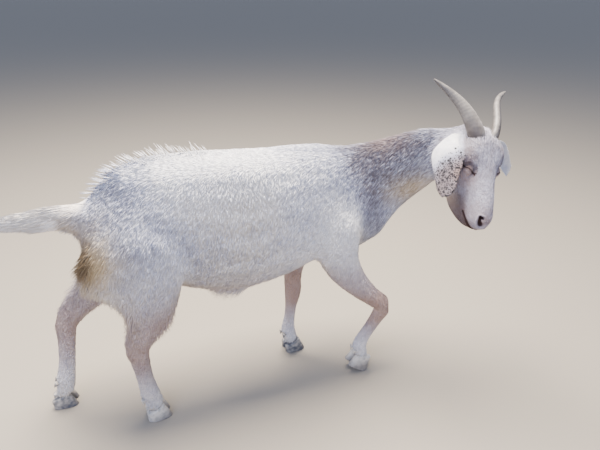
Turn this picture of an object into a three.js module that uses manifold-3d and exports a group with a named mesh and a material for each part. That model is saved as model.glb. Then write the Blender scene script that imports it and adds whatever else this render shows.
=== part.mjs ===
// A white short-haired goat with lop ears and swept-back horns, walking, at life size.
// Millimetres, +Z up, floor at z = 0. The goat faces +X, and its left side is +Y.
// The body is lofted in lengths, joined, and parted again by thin cuts where a person names its parts.

import * as THREE from 'three';
import Module from 'manifold-3d';
import { mergeVertices } from 'three/addons/utils/BufferGeometryUtils.js';

const wasm = await Module();
wasm.setup();

// Driving dimensions
const gap = 0.3; // clearance between neighbouring parts
const eyeRadius = 12.5;
const eyeAt = [65, 39, -28]; // left eyeball centre, in the head's frame
const earBase = [-20, 40, -54]; // middle of the left ear's root, in the head's frame
const hornBase = [-12, 26, -7]; // where the left horn leaves the forehead
const hornRoot = 12; // how far its root runs on inside
const hornLength = 170;
const claw = { length: 62, width: 25, height: 46, spread: 14 }; // spread: foot's middle to claw's middle
const coronet = { height: 38, slope: 22 }; // where the hair ends above a hoof, and its fall to the heel
const dewclaw = { length: 22, radius: 8, spread: 11 };
const legInner = 26; // a leg's inner cut, from the goat's middle plane
const cutDepth = 170; // how far a leg's cutter reaches outwards from there
const shoulderCut = { at: [292, 0, 560], normal: [0.94, -0.12, 0.32] }; // parts neck from trunk
const nape = { at: [-52, 0, -78], normal: [-0.45, -0.3, -0.84] }; // parts head from neck, in the head's frame

// How the head is carried: the forehead's place, and the turns that take the nose from +X to there.
const headPlace = { at: [544, -207, 701], turn: -108, drop: 57, tilt: -21 };

// Each ear, in degrees: how far it stands out from the cheek and points back, and its face's turn
// towards the front. lift is how far its root holds it off the head, outwards and forwards, and curl
// rolls its edges in, which makes it narrower.
const ears = {
  left: { side: 1, out: 63, back: 20, turn: -79, lift: [1, -4], curl: 2.2 },
  right: { side: -1, out: 2, back: 3, turn: 31, lift: [51, 18], curl: 1 },
};
const horns = { left: 1, right: -1 };

// Materials
const finish = (color, roughness) => new THREE.MeshStandardMaterial({ color, roughness, metalness: 0 });
const coat = finish('#e9e4dc', 0.9);
const earCoat = finish('#dcd9dc', 0.85);
const hornSheath = finish('#9c9184', 0.55);
const hoofHorn = finish('#4a4c50', 0.5);
const eyeball = finish('#3a2c1c', 0.15);

const vector = ([x, y, z]) => new THREE.Vector3(x, y, z);
const mirrored = (side, [x, y, z]) => [x, side * y, z];
const radians = THREE.MathUtils.degToRad;

// Joins and cuts

// A closed geometry as a solid that can be joined and cut.
function solid(geometry) {
  const bare = geometry.clone().deleteAttribute('normal').deleteAttribute('uv');
  const merged = mergeVertices(bare, 1e-4);
  const mesh = new wasm.Mesh({
    numProp: 3,
    vertProperties: new Float32Array(merged.attributes.position.array),
    triVerts: new Uint32Array(merged.index.array),
  });
  return new wasm.Manifold(mesh);
}

function geometryOf(manifold) {
  const mesh = manifold.getMesh();
  const geometry = new THREE.BufferGeometry();
  geometry.setAttribute('position', new THREE.Float32BufferAttribute(mesh.vertProperties, 3));
  geometry.setIndex(Array.from(mesh.triVerts));
  return geometry;
}

// Parts a solid at a plane, which takes half the gap from each side: [ahead of the plane, behind it].
function parted(whole, normal, through) {
  const n = vector(normal).normalize();
  const offset = n.dot(vector(through));
  const ahead = whole.trimByPlane(n.toArray(), offset + gap / 2);
  const behind = whole.trimByPlane(n.clone().negate().toArray(), gap / 2 - offset);
  return [ahead, behind];
}

// The biggest of a solid's separate skins, so that no sliver and no sealed hollow is left.
function biggest(whole) {
  return whole.decompose().reduce((best, piece) => (piece.volume() > best.volume() ? piece : best));
}

// Lofts

// A closed solid through equal rings of points, each end closed on its ring's middle.
function solidOfRings(rings) {
  const sides = rings[0].length;
  const points = rings.flat();
  const index = [];
  for (let r = 0; r + 1 < rings.length; r++) {
    for (let i = 0; i < sides; i++) {
      const a = r * sides + i;
      const b = r * sides + (i + 1) % sides;
      index.push(a, b, b + sides, a, b + sides, a + sides);
    }
  }
  for (const [ring, starts] of [[0, true], [rings.length - 1, false]]) {
    const middle = new THREE.Vector3();
    for (const point of rings[ring]) middle.addScaledVector(point, 1 / sides);
    points.push(middle);
    for (let i = 0; i < sides; i++) {
      const a = ring * sides + i;
      const b = ring * sides + (i + 1) % sides;
      index.push(points.length - 1, ...(starts ? [b, a] : [a, b]));
    }
  }
  const geometry = new THREE.BufferGeometry();
  geometry.setAttribute('position', new THREE.Float32BufferAttribute(points.flatMap((p) => p.toArray()), 3));
  geometry.setIndex(index);
  return geometry;
}

const plain = { square: 2, taper: 0, cup: 0 };

// A field's value at t along the stations, on a smooth curve through the stations' own values.
function along(stations, field, t) {
  const last = stations.length - 1;
  const i = Math.min(Math.floor(t * last), last - 1);
  const value = (k) => stations[THREE.MathUtils.clamp(k, 0, last)][field] ?? plain[field];
  const u = t * last - i;
  const [p0, p1, p2, p3] = [value(i - 1), value(i), value(i + 1), value(i + 2)];
  const slope1 = (p2 - p0) / 2;
  const slope2 = (p3 - p1) / 2;
  const c2 = 3 * (p2 - p1) - 2 * slope1 - slope2;
  const c3 = 2 * (p1 - p2) + slope1 + slope2;
  return p1 + u * (slope1 + u * (c2 + u * c3));
}

// A length of the body lofted along its stations. Each has a point on the line (at), half a width
// (wide), and the reach on two sides of the line: over, towards the hint, and under, away from it.
// square is the corner exponent, taper widens the over side, and cup bends a flat section about the
// line. swells push the surface out round a point, and grow makes the whole length fatter and longer.
function loft({ stations, rings, sides, hint, swells = [], grow = 0 }) {
  const line = new THREE.CatmullRomCurve3(stations.map((s) => vector(s.at)), false, 'centripetal');
  const made = [];
  for (let r = 0; r < rings; r++) {
    const t = r / (rings - 1);
    const ahead = line.getTangent(t);
    const centre = line.getPoint(t);
    if (r === 0) centre.addScaledVector(ahead, -grow);
    if (r === rings - 1) centre.addScaledVector(ahead, grow);
    const over = vector(hint).addScaledVector(ahead, -vector(hint).dot(ahead)).normalize();
    const side = new THREE.Vector3().crossVectors(ahead, over);
    const get = (field) => along(stations, field, t);
    const power = 2 / get('square');
    const ring = [];
    for (let i = 0; i < sides; i++) {
      const angle = (i / sides) * Math.PI * 2;
      const [s, c] = [Math.sin(angle), Math.cos(angle)];
      const across = Math.sign(s) * Math.abs(s) ** power;
      const upward = Math.sign(c) * Math.abs(c) ** power;
      const out = across * (1 + grow / get('wide')); // 1 at the section's edge before it grows
      const reach = upward * (get(c > 0 ? 'over' : 'under') + grow) - get('cup') * out ** 2;
      const point = centre.clone()
        .addScaledVector(side, across * (get('wide') * (1 + get('taper') * upward) + grow))
        .addScaledVector(over, reach);
      const outward = point.clone().sub(centre).normalize();
      for (const { at, size, by } of swells) {
        point.addScaledVector(outward, by * Math.exp(-((point.distanceTo(vector(at)) / size) ** 2)));
      }
      ring.push(point);
    }
    made.push(ring);
  }
  return solidOfRings(made);
}

const bothSides = (swells) => swells.flatMap((s) => [s, { ...s, at: mirrored(-1, s.at) }]);

// Trunk: the line runs at mid-height from the buttocks to the breast.
function trunk() {
  const stations = [
    { at: [-360, 0, 512], wide: 38, over: 30, under: 74, taper: -0.2 },
    { at: [-344, 0, 516], wide: 70, over: 64, under: 106, taper: -0.3 },
    { at: [-290, 0, 526], wide: 96, over: 104, under: 120, taper: -0.26 },
    { at: [-215, 0, 540], wide: 106, over: 138, under: 150, square: 2.1, taper: -0.16 },
    { at: [-120, 0, 528], wide: 116, over: 155, under: 180, square: 2.1, taper: -0.06 },
    { at: [-20, 0, 515], wide: 130, over: 160, under: 192, square: 2.2, taper: -0.05 },
    { at: [80, 0, 515], wide: 128, over: 155, under: 180, square: 2.2, taper: -0.08 },
    { at: [170, 0, 520], wide: 110, over: 151, under: 162, square: 2.2, taper: -0.1 },
    { at: [250, 0, 522], wide: 92, over: 140, under: 152, square: 2.1, taper: -0.12 },
    { at: [334, 0, 482], wide: 82, over: 114, under: 134 },
    { at: [404, -10, 462], wide: 56, over: 80, under: 68 },
  ];
  return loft({ stations, rings: 20, sides: 18, hint: [0, 0, 1], swells: bothSides([
    { at: [-262, 85, 650], size: 60, by: 7 }, // point of the hip
    { at: [250, 90, 600], size: 70, by: 6 }, // shoulder blade
  ]) });
}

// Neck: from inside the chest to the back of the head, carried low and turned to the right.
function neck() {
  const stations = [
    { at: [225, 0, 540], wide: 78, over: 120, under: 136 },
    { at: [315, -8, 560], wide: 66, over: 103, under: 162 },
    { at: [395, -34, 596], wide: 56, over: 80, under: 118 },
    { at: [470, -80, 632], wide: 48, over: 74, under: 78 },
    { at: [536, -128, 660], wide: 42, over: 60, under: 60 },
  ];
  return loft({ stations, rings: 11, sides: 16, hint: [-0.2, 0, 1] });
}

// Tail: carried straight back, long-haired below, so deeper than it is wide.
function tail(grow = 0) {
  const stations = [
    { at: [-318, 0, 578], wide: 20, over: 18, under: 26 },
    { at: [-352, 0, 570], wide: 24, over: 32, under: 48 },
    { at: [-400, 0, 566], wide: 22, over: 32, under: 40 },
    { at: [-455, 0, 566], wide: 18, over: 27, under: 30 },
    { at: [-510, 0, 567], wide: 13, over: 20, under: 22 },
    { at: [-550, 0, 570], wide: 6, over: 9, under: 10 },
  ];
  return loft({ stations, rings: 9, sides: 12, hint: [0, 0, 1], grow });
}

// Legs. In each, over is the front of the limb. haunch is the cut that parts the leg from the trunk:
// an arch, and the stretch of floor that it stands on. The foot turns by heading, and by pitch
// about its toe.
const legs = {
  leg_front_right: {
    stations: [
      { at: [212, -56, 572], wide: 24, over: 40, under: 38 },
      { at: [236, -76, 480], wide: 42, over: 62, under: 62 },
      { at: [236, -88, 400], wide: 37, over: 54, under: 58 },
      { at: [266, -94, 335], wide: 29, over: 40, under: 42 },
      { at: [320, -100, 270], wide: 23, over: 28, under: 28 },
      { at: [367, -104, 222], wide: 24, over: 26, under: 22 },
      { at: [350, -98, 172], wide: 18, over: 19, under: 19 },
      { at: [325, -90, 120], wide: 18, over: 18, under: 19 },
      { at: [316, -85, 86], wide: 22, over: 20, under: 23 },
      { at: [330, -80, 34], wide: 21, over: 18, under: 20 },
    ],
    haunch: { middle: [235, 452], reach: [76, 108], back: 150, front: 430, low: 345 },
    foot: { at: [340, -79], heading: -6, pitch: 38 },
  },
  leg_front_left: {
    stations: [
      { at: [212, 56, 572], wide: 24, over: 40, under: 38 },
      { at: [225, 76, 480], wide: 42, over: 60, under: 60 },
      { at: [208, 86, 400], wide: 36, over: 50, under: 52 },
      { at: [188, 84, 325], wide: 28, over: 36, under: 36 },
      { at: [172, 76, 262], wide: 22, over: 27, under: 27 },
      { at: [168, 68, 210], wide: 24, over: 27, under: 24 },
      { at: [162, 66, 160], wide: 17, over: 18, under: 18 },
      { at: [158, 68, 110], wide: 17, over: 18, under: 19 },
      { at: [156, 71, 76], wide: 22, over: 21, under: 23 },
      { at: [172, 74, 22], wide: 21, over: 18, under: 20 },
    ],
    haunch: { middle: [220, 452], reach: [76, 108], back: 110, front: 300, low: 345 },
    foot: { at: [204, 76], heading: 3, pitch: 0 },
  },
  leg_hind_right: {
    stations: [
      { at: [-252, -50, 600], wide: 26, over: 46, under: 42 },
      { at: [-242, -78, 510], wide: 48, over: 96, under: 132 },
      { at: [-228, -92, 430], wide: 42, over: 76, under: 130 },
      { at: [-236, -96, 355], wide: 33, over: 56, under: 66 },
      { at: [-256, -92, 300], wide: 24, over: 40, under: 38 },
      { at: [-278, -86, 250], wide: 23, over: 31, under: 32 },
      { at: [-276, -78, 200], wide: 20, over: 23, under: 24 },
      { at: [-270, -68, 130], wide: 19, over: 21, under: 23 },
      { at: [-264, -61, 80], wide: 23, over: 24, under: 25 },
      { at: [-250, -57, 22], wide: 22, over: 20, under: 22 },
    ],
    haunch: { middle: [-250, 472], reach: [126, 140], back: -400, front: -130, low: 360 },
    foot: { at: [-219, -55], heading: 4, pitch: 0 },
  },
  leg_hind_left: {
    stations: [
      { at: [-262, 50, 598], wide: 26, over: 46, under: 42 },
      { at: [-268, 78, 505], wide: 48, over: 92, under: 100 },
      { at: [-292, 92, 420], wide: 42, over: 76, under: 66 },
      { at: [-334, 96, 350], wide: 31, over: 54, under: 46 },
      { at: [-386, 92, 298], wide: 24, over: 38, under: 36 },
      { at: [-434, 86, 248], wide: 23, over: 30, under: 30 },
      { at: [-442, 80, 200], wide: 20, over: 23, under: 24 },
      { at: [-452, 72, 130], wide: 19, over: 21, under: 23 },
      { at: [-464, 67, 80], wide: 23, over: 24, under: 25 },
      { at: [-474, 69, 22], wide: 22, over: 20, under: 22 },
    ],
    haunch: { middle: [-278, 470], reach: [112, 140], back: -560, front: -160, low: 380 },
    foot: { at: [-445, 71], heading: -3, pitch: 0 },
  },
};

const leg = ({ stations }) => loft({ stations, rings: 18, sides: 12, hint: [1, 0, 0.25] });

// The block of space that belongs to a leg: an arch standing on the floor, on one side of the goat.
function haunchBlock({ middle, reach, back, front, low }, side, grow = 0) {
  const [left, right] = [middle[0] - reach[0] - grow, middle[0] + reach[0] + grow];
  const arch = new THREE.Shape();
  arch.moveTo(back - grow, -60);
  arch.lineTo(back - grow, low - 60);
  arch.lineTo(left, low + grow);
  arch.lineTo(left, middle[1]);
  arch.absellipse(...middle, reach[0] + grow, reach[1] + grow, Math.PI, 0, true);
  arch.lineTo(right, low + grow);
  arch.lineTo(front + grow, low - 30);
  arch.lineTo(front + grow, -60);
  arch.closePath();
  const depth = cutDepth + grow;
  const block = new THREE.ExtrudeGeometry(arch, { depth, bevelEnabled: false, curveSegments: 8 });
  block.rotateX(Math.PI / 2);
  const inner = legInner - grow;
  block.translate(0, side > 0 ? inner + depth : -inner, 0);
  return block;
}

// The foot's frame: the origin on the floor under the toe, x towards the toe.
function footFrame({ at, heading, pitch }) {
  const frame = new THREE.Object3D();
  frame.position.set(at[0], at[1], 0);
  frame.rotation.set(0, radians(pitch), radians(heading), 'ZYX');
  frame.updateMatrix();
  return frame.matrix;
}

// The plane of the coronet, in the world: the hair is ahead of it and the hoof behind.
function coronetPlane(frame) {
  const slope = radians(coronet.slope);
  const through = new THREE.Vector3(-claw.length / 2, 0, coronet.height).applyMatrix4(frame);
  const normal = new THREE.Vector3(-Math.sin(slope), 0, Math.cos(slope)).transformDirection(frame);
  return [normal.toArray(), through.toArray()];
}

// One claw of a hoof: upright, with a rounded toe, longer at the sole than at the coronet.
function clawBlock(side) {
  const half = claw.width / 2;
  const long = claw.length / 2;
  const y = side * claw.spread;
  const stations = [
    { at: [-long, y, -10], wide: half + 1, over: long + 3, under: long },
    { at: [-long - 3, y, 10], wide: half, over: long - 1, under: long - 3 },
    { at: [-long - 8, y, 30], wide: half - 0.5, over: long - 6, under: long - 6 },
    { at: [-long - 13, y, claw.height + 10], wide: half - 1, over: long - 11, under: long - 9 },
  ].map((s) => ({ ...s, square: 2.4 }));
  return loft({ stations, rings: 4, sides: 12, hint: [1, 0, 0] });
}

// A dewclaw: a blunt cone behind the fetlock, half in the hair, its point down the pastern and back.
function dewclawCone({ stations, foot }, side, grow = 0) {
  const [fetlock, pastern] = stations.slice(-2);
  const down = vector(pastern.at).sub(vector(fetlock.at)).normalize();
  const across = new THREE.Vector3(0, 1, 0).applyAxisAngle(vector([0, 0, 1]), radians(foot.heading));
  const back = new THREE.Vector3().crossVectors(across, down).normalize();
  const place = vector(fetlock.at)
    .addScaledVector(down, 10)
    .addScaledVector(back, fetlock.under)
    .addScaledVector(across, side * dewclaw.spread);
  const point = down.addScaledVector(back, 0.5).normalize();
  const cone = new THREE.ConeGeometry(dewclaw.radius + grow, dewclaw.length + 2 * grow, 8);
  cone.applyQuaternion(new THREE.Quaternion().setFromUnitVectors(vector([0, 1, 0]), point));
  return cone.translate(...place.toArray());
}

// Head, in its own frame: x towards the nose, y to its left, z out of the forehead.
function head() {
  const stations = [
    { at: [-70, 0, -84], wide: 12, over: 9, under: 14 },
    { at: [-60, 0, -79], wide: 30, over: 23, under: 32 },
    { at: [-42, 0, -70], wide: 43, over: 37, under: 50 },
    { at: [-20, 0, -64], wide: 50, over: 53, under: 64 },
    { at: [10, 0, -61], wide: 54, over: 62, under: 74, taper: 0.08 },
    { at: [44, 0, -58], wide: 52, over: 60, under: 84, taper: 0.06 },
    { at: [80, 0, -56], wide: 44, over: 57, under: 90, taper: -0.06 },
    { at: [114, 0, -54], wide: 38, over: 53, under: 88, square: 2.2, taper: -0.12 },
    { at: [146, 0, -51], wide: 34, over: 47, under: 72, square: 2.3, taper: -0.18 },
    { at: [174, 0, -48], wide: 30, over: 37, under: 51, square: 2.4, taper: -0.2 },
    { at: [193, 0, -47], wide: 22, over: 25, under: 35, square: 2.3, taper: -0.16 },
    { at: [203, 0, -48], wide: 10, over: 14, under: 17, square: 2.2 },
  ];
  return loft({ stations, rings: 22, sides: 18, hint: [0, 0, 1], swells: bothSides([
    { at: [30, 50, -10], size: 30, by: 22 }, // brow
    { at: [50, 58, -32], size: 24, by: 10 }, // rim of the eye socket
    { at: [0, 24, -4], size: 24, by: 10 }, // boss under the horn
    { at: [78, 42, -50], size: 24, by: 5 }, // cheekbone
    { at: [40, 40, -104], size: 34, by: 6 }, // jaw muscle
    { at: [180, 20, -30], size: 15, by: 3 }, // wing of the nostril
  ]) });
}

// Ears: broad leaves from the back of the head, cupped towards the cheek.
function ear({ side, out, back, turn, lift, curl }, grow = 0) {
  const [o, b, t] = [radians(out), radians(back), radians(turn)];
  const way = new THREE.Vector3(Math.cos(o) * Math.cos(b), side * Math.sin(o) * Math.cos(b), -Math.sin(b));
  const face = new THREE.Vector3(-Math.sin(o), side * Math.cos(o), 0).multiplyScalar(Math.cos(t));
  face.z = Math.sin(t);
  const stations = [
    { from: 0, wide: 15, over: 11, under: 11 },
    { from: 20, wide: 29, over: 7, under: 5, cup: 7 },
    { from: 40, wide: 44, over: 4.5, under: 3.5, cup: 12 },
    { from: 74, wide: 38, over: 3.5, under: 2.5, cup: 12 },
    { from: 114, wide: 28, over: 3, under: 2, cup: 8 },
    { from: 138, wide: 22, over: 2.5, under: 1.8, cup: 5 },
    { from: 150, wide: 10, over: 2, under: 1.4, cup: 1 },
  ].map((s) => {
    const at = vector(mirrored(side, earBase)).addScaledVector(way, s.from);
    const held = 1 - Math.exp(-s.from / 22);
    at.add(new THREE.Vector3(0, side * lift[0] * held, lift[1] * held));
    return { ...s, at: at.toArray(), wide: s.wide / Math.sqrt(curl), cup: (s.cup ?? 0) * curl };
  });
  return loft({ stations, rings: 11, sides: 14, hint: face.toArray(), grow });
}

// Horns: they rise off the forehead, lean back, and turn out at the tips. Each is flat, with its
// front edge on the inner side.
function horn(side, grow = 0) {
  const steps = 12;
  const base = vector(mirrored(side, hornBase));
  const way = (s) => {
    const lean = -0.19 + 1.98 * s - 1.62 * s ** 2;
    const spread = 0.385 - 0.33 * s + 1.81 * s ** 3;
    return new THREE.Vector3(-Math.cos(lean), side * spread, -Math.sin(lean)).normalize();
  };
  const root = base.clone().addScaledVector(way(0), -hornRoot);
  const stations = [{ at: root.toArray(), wide: 9, over: 15, under: 15 }];
  for (let i = 0; i <= steps; i++) {
    const left = 1 - i / steps;
    const wide = 1.5 + 9.5 * left ** 0.4;
    const over = 1.5 + 19.5 * left ** 0.9;
    const under = 1.5 + 20.5 * left ** 0.62;
    stations.push({ at: base.toArray(), wide, over, under });
    base.addScaledVector(way((i + 0.5) / steps), hornLength / steps);
  }
  return loft({ stations, rings: 14, sides: 12, hint: [0.2, -0.7 * side, 0.7], grow });
}

function eye(side, grow = 0) {
  const ball = new THREE.SphereGeometry(eyeRadius + grow, 12, 8);
  return ball.translate(...mirrored(side, eyeAt));
}

// The head's place in the world
function headFrame() {
  const { at, turn, drop, tilt } = headPlace;
  const frame = new THREE.Object3D();
  frame.position.copy(vector(at));
  frame.rotation.set(radians(tilt), radians(drop), radians(turn), 'ZYX');
  frame.updateMatrix();
  return frame.matrix;
}

// Assembly
const goat = new THREE.Group();
function add(name, shape, material) {
  const mesh = new THREE.Mesh(shape.isBufferGeometry ? shape : geometryOf(shape), material);
  mesh.name = name;
  goat.add(mesh);
}

const headMatrix = headFrame();
const onHead = (geometry) => geometry.applyMatrix4(headMatrix);
const ofHead = (point) => vector(point).applyMatrix4(headMatrix).toArray();

let body = solid(trunk()).add(solid(neck())).add(solid(onHead(head())));
for (const shape of Object.values(legs)) body = body.add(solid(leg(shape)));
body = biggest(body);

// Each leg is parted from the trunk at its block and from its hooves at the coronet.
for (const [name, shape] of Object.entries(legs)) {
  const side = Math.sign(shape.foot.at[1]);
  const frame = footFrame(shape.foot);
  const [normal, through] = coronetPlane(frame);
  let [limb] = parted(body.intersect(solid(haunchBlock(shape.haunch, side))), normal, through);
  body = body.subtract(solid(haunchBlock(shape.haunch, side, gap)));
  for (const [place, half] of [['outer', side], ['inner', -side]]) {
    const [, hoof] = parted(solid(clawBlock(half).applyMatrix4(frame)), normal, through);
    add(name.replace('leg', 'hoof') + `_${place}`, hoof.trimByPlane([0, 0, 1], 0), hoofHorn);
    add(name.replace('leg', 'dewclaw') + `_${place}`, dewclawCone(shape, half), hoofHorn);
    limb = limb.subtract(solid(dewclawCone(shape, half, gap)));
  }
  add(name, biggest(limb), coat);
}

// The tail sits in the rump, and the neck and head part at the shoulders and behind the jaw.
add('tail', tail(), coat);
body = body.subtract(solid(tail(gap)));
const [front, back] = parted(body, shoulderCut.normal, shoulderCut.at);
const headNormal = vector(nape.normal).transformDirection(headMatrix).toArray();
const [neckPart, headPart] = parted(front, headNormal, ofHead(nape.at));
add('trunk', biggest(back), coat);
add('neck', biggest(neckPart), coat);

let skull = headPart;
for (const [name, side] of Object.entries(horns)) {
  add(`horn_${name}`, onHead(horn(side)), hornSheath);
  add(`eye_${name}`, onHead(eye(side)), eyeball);
  add(`ear_${name}`, onHead(ear(ears[name])), earCoat);
  for (const piece of [horn(side, gap), eye(side, gap), ear(ears[name], gap)]) {
    skull = skull.subtract(solid(onHead(piece)));
  }
}
add('head', biggest(skull), coat);

// The origin is the middle of the goat's box, on the floor.
const middle = new THREE.Box3().setFromObject(goat).getCenter(new THREE.Vector3());
goat.position.set(-middle.x, -middle.y, 0);

export default goat;
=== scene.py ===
import math

import bmesh
import bpy
import numpy as np
from mathutils import Euler, Matrix, Vector
from mathutils.bvhtree import BVHTree


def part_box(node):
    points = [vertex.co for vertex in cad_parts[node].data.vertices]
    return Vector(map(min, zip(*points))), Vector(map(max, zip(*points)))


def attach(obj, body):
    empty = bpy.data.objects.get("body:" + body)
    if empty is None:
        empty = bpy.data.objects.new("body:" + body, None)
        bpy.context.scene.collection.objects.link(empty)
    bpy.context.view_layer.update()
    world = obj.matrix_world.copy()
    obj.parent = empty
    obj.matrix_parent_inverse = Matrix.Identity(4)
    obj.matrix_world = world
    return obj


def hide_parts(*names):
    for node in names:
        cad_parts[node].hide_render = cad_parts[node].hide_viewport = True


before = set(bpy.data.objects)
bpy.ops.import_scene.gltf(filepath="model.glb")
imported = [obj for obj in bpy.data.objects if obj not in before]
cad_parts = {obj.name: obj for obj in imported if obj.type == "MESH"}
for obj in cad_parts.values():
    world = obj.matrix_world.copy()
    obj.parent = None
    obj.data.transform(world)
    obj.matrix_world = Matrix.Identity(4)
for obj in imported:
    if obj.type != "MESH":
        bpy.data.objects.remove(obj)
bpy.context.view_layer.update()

scene = bpy.context.scene


# camera, floor and light

view = {
    "place": (-0.3555, -1.0548, 1.0424),
    "turn": 21.531,      # degrees from +Y towards +X
    "drop": 25.791,      # degrees below level
    "roll": -0.579,
    "lens": 31.24,
}


def addCamera(values):
    data = bpy.data.cameras.new("camera")
    data.lens = values["lens"]
    data.sensor_width = 36
    camera = bpy.data.objects.new("camera", data)
    scene.collection.objects.link(camera)
    turn = Euler((math.radians(90 - values["drop"]), 0, -math.radians(values["turn"]))).to_matrix()
    roll = Matrix.Rotation(-math.radians(values["roll"]), 3, "Z")
    camera.matrix_world = Matrix.Translation(values["place"]) @ (turn @ roll).to_4x4()
    scene.camera = camera


studio = {
    "floor": "#968e81",
    "sky": "#bfcff3",
    "skyStrength": 0.85,
    "lamps": [           # place, aimed at, size in metres, watts, colour
        ((-0.05, 0.50, 2.8), (-0.1, 0.0, 0.5), 1.6, 470, "#fff3e4"),
        ((-1.5, -2.0, 1.7), (-0.25, 0.0, 0.45), 2.0, 78, "#cddaff"),
        ((2.3, -1.4, 1.3), (0.3, 0.0, 0.5), 1.6, 5, "#ffffff"),
    ],
}


def linear(hexColour):
    parts = [int(hexColour[i:i + 2], 16) / 255 for i in (1, 3, 5)]
    return [p / 12.92 if p <= 0.04045 else ((p + 0.055) / 1.055) ** 2.4 for p in parts] + [1.0]


def node(tree, kind, links=None, **settings):      # links holds values, sockets or nodes, by input
    made = tree.nodes.new(kind)
    for key, value in settings.items():
        setattr(made, key, value)
    for name, source in (links or {}).items():
        if isinstance(source, bpy.types.Node):
            source = next(socket for socket in source.outputs if socket.enabled)
        if isinstance(source, bpy.types.NodeSocket):
            tree.links.new(source, made.inputs[name])
        else:
            made.inputs[name].default_value = source
    return made


def newPaint(name, roughness):
    paint = bpy.data.materials.new(name)
    paint.use_nodes = True
    shader = paint.node_tree.nodes["Principled BSDF"]
    shader.inputs["Roughness"].default_value = roughness
    return paint, paint.node_tree, shader


def addStage(values):
    bpy.ops.mesh.primitive_plane_add(size=60)
    floor = bpy.context.object
    floor.name = "studio_floor"
    paint, _, shader = newPaint("matt studio floor", 0.9)
    shader.inputs["Base Color"].default_value = linear(values["floor"])
    floor.data.materials.append(paint)
    world = bpy.data.worlds.new("studio")
    world.use_nodes = True
    sky = world.node_tree.nodes["Background"]
    sky.inputs["Color"].default_value = linear(values["sky"])
    sky.inputs["Strength"].default_value = values["skyStrength"]
    scene.world = world
    for number, (place, target, size, watts, colour) in enumerate(values["lamps"]):
        data = bpy.data.lights.new(f"softbox {number}", "AREA")
        data.size = size
        data.energy = watts
        data.color = linear(colour)[:3]
        lamp = bpy.data.objects.new(data.name, data)
        aim = (Vector(target) - Vector(place)).to_track_quat("-Z", "Y")
        lamp.matrix_world = Matrix.Translation(place) @ aim.to_matrix().to_4x4()
        scene.collection.objects.link(lamp)


addCamera(view)
addStage(studio)
print("camera, floor and light set")


# mesh helpers

def cadMesh(names):      # one merged mesh of several CAD nodes
    bm = bmesh.new()
    for name in names:
        bm.from_mesh(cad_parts[name].data)
    bmesh.ops.remove_doubles(bm, verts=bm.verts, dist=1e-5)
    mesh = bpy.data.meshes.new("copy")
    bm.to_mesh(mesh)
    bm.free()
    return mesh


def asObject(mesh, name):
    made = bpy.data.objects.new(name, mesh)
    scene.collection.objects.link(made)
    return made


def applied(mesh, *modifiers):      # the mesh after modifiers, each (kind, {setting: value})
    carrier = asObject(mesh, "carrier")
    for kind, settings in modifiers:
        modifier = carrier.modifiers.new(kind, kind)
        for key, value in settings.items():
            setattr(modifier, key, value)
    result = bpy.data.meshes.new_from_object(carrier.evaluated_get(bpy.context.evaluated_depsgraph_get()))
    bpy.data.objects.remove(carrier)
    return result


def joined(*meshes):
    bm = bmesh.new()
    for mesh in meshes:
        bm.from_mesh(mesh)
    result = bpy.data.meshes.new("joined")
    bm.to_mesh(result)
    bm.free()
    return result


def points(mesh):
    flat = np.empty(len(mesh.vertices) * 3, dtype=np.float32)
    mesh.vertices.foreach_get("co", flat)
    return flat.reshape(-1, 3).astype(np.float64)


def setPoints(mesh, places):
    mesh.vertices.foreach_set("co", places.astype(np.float32).ravel())
    mesh.update()


def normals(mesh):
    flat = np.empty(len(mesh.vertices) * 3, dtype=np.float32)
    mesh.vertex_normals.foreach_get("vector", flat)
    return flat.reshape(-1, 3).astype(np.float64)


def setAttribute(mesh, name, values):      # one number or one vector for each vertex
    kind, slot = ("FLOAT_VECTOR", "vector") if values.ndim == 2 else ("FLOAT", "value")
    mesh.attributes.new(name, kind, "POINT").data.foreach_set(slot, values.astype(np.float32).ravel())


def averager(mesh):      # a function giving each vertex the mean of its neighbours' values
    ends = np.empty(len(mesh.edges) * 2, dtype=np.int32)
    mesh.edges.foreach_get("vertices", ends)
    a, b = ends.reshape(-1, 2).T
    size = len(mesh.vertices)
    count = np.maximum(np.bincount(ends, minlength=size), 1)

    def mean(values):
        columns = values.reshape(size, -1).T
        sums = [np.bincount(a, c[b], size) + np.bincount(b, c[a], size) for c in columns]
        return (np.array(sums) / count).T.reshape(values.shape)

    return mean


def blurred(values, mean, rounds):
    for _ in range(rounds):
        values = mean(values)
    return values


def relax(mesh, amount, rounds):      # smooths the mesh, each vertex by its own amount
    mean = averager(mesh)
    places = points(mesh)
    for _ in range(rounds):
        places += (mean(places) - places) * amount[:, None]
    setPoints(mesh, places)


def ease(value, low, high):      # 0 below low, 1 above high, smooth between
    t = np.clip((value - low) / (high - low), 0, 1)
    return t * t * (3 - 2 * t)


def unit(vectors):
    return vectors / np.maximum(np.linalg.norm(vectors, axis=-1, keepdims=True), 1e-9)


def near(places, centre, radii):      # 1 at the centre, falling off over the radii
    away = (places - np.array(centre)) / np.array(radii)
    return np.exp(-(away ** 2).sum(1))


# where things are on the goat

fleshNodes = ["trunk", "neck", "head", "tail", "leg_front_right", "leg_front_left",
              "leg_hind_right", "leg_hind_left", "ear_left", "ear_right"]


def inBox(name, shares):      # a place given as shares of a CAD node's box
    low, high = (np.array(corner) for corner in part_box(name))
    return low + (high - low) * np.array(shares)


headValues = {
    "turn": (-21, 57, -108),      # degrees, as the head is carried
    "eyes": (0.065, 0, -0.028),   # the middle between the eyeballs, in the head's frame
    "hornRoot": (-0.012, -0.026, -0.007),      # of the right horn
}


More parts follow.
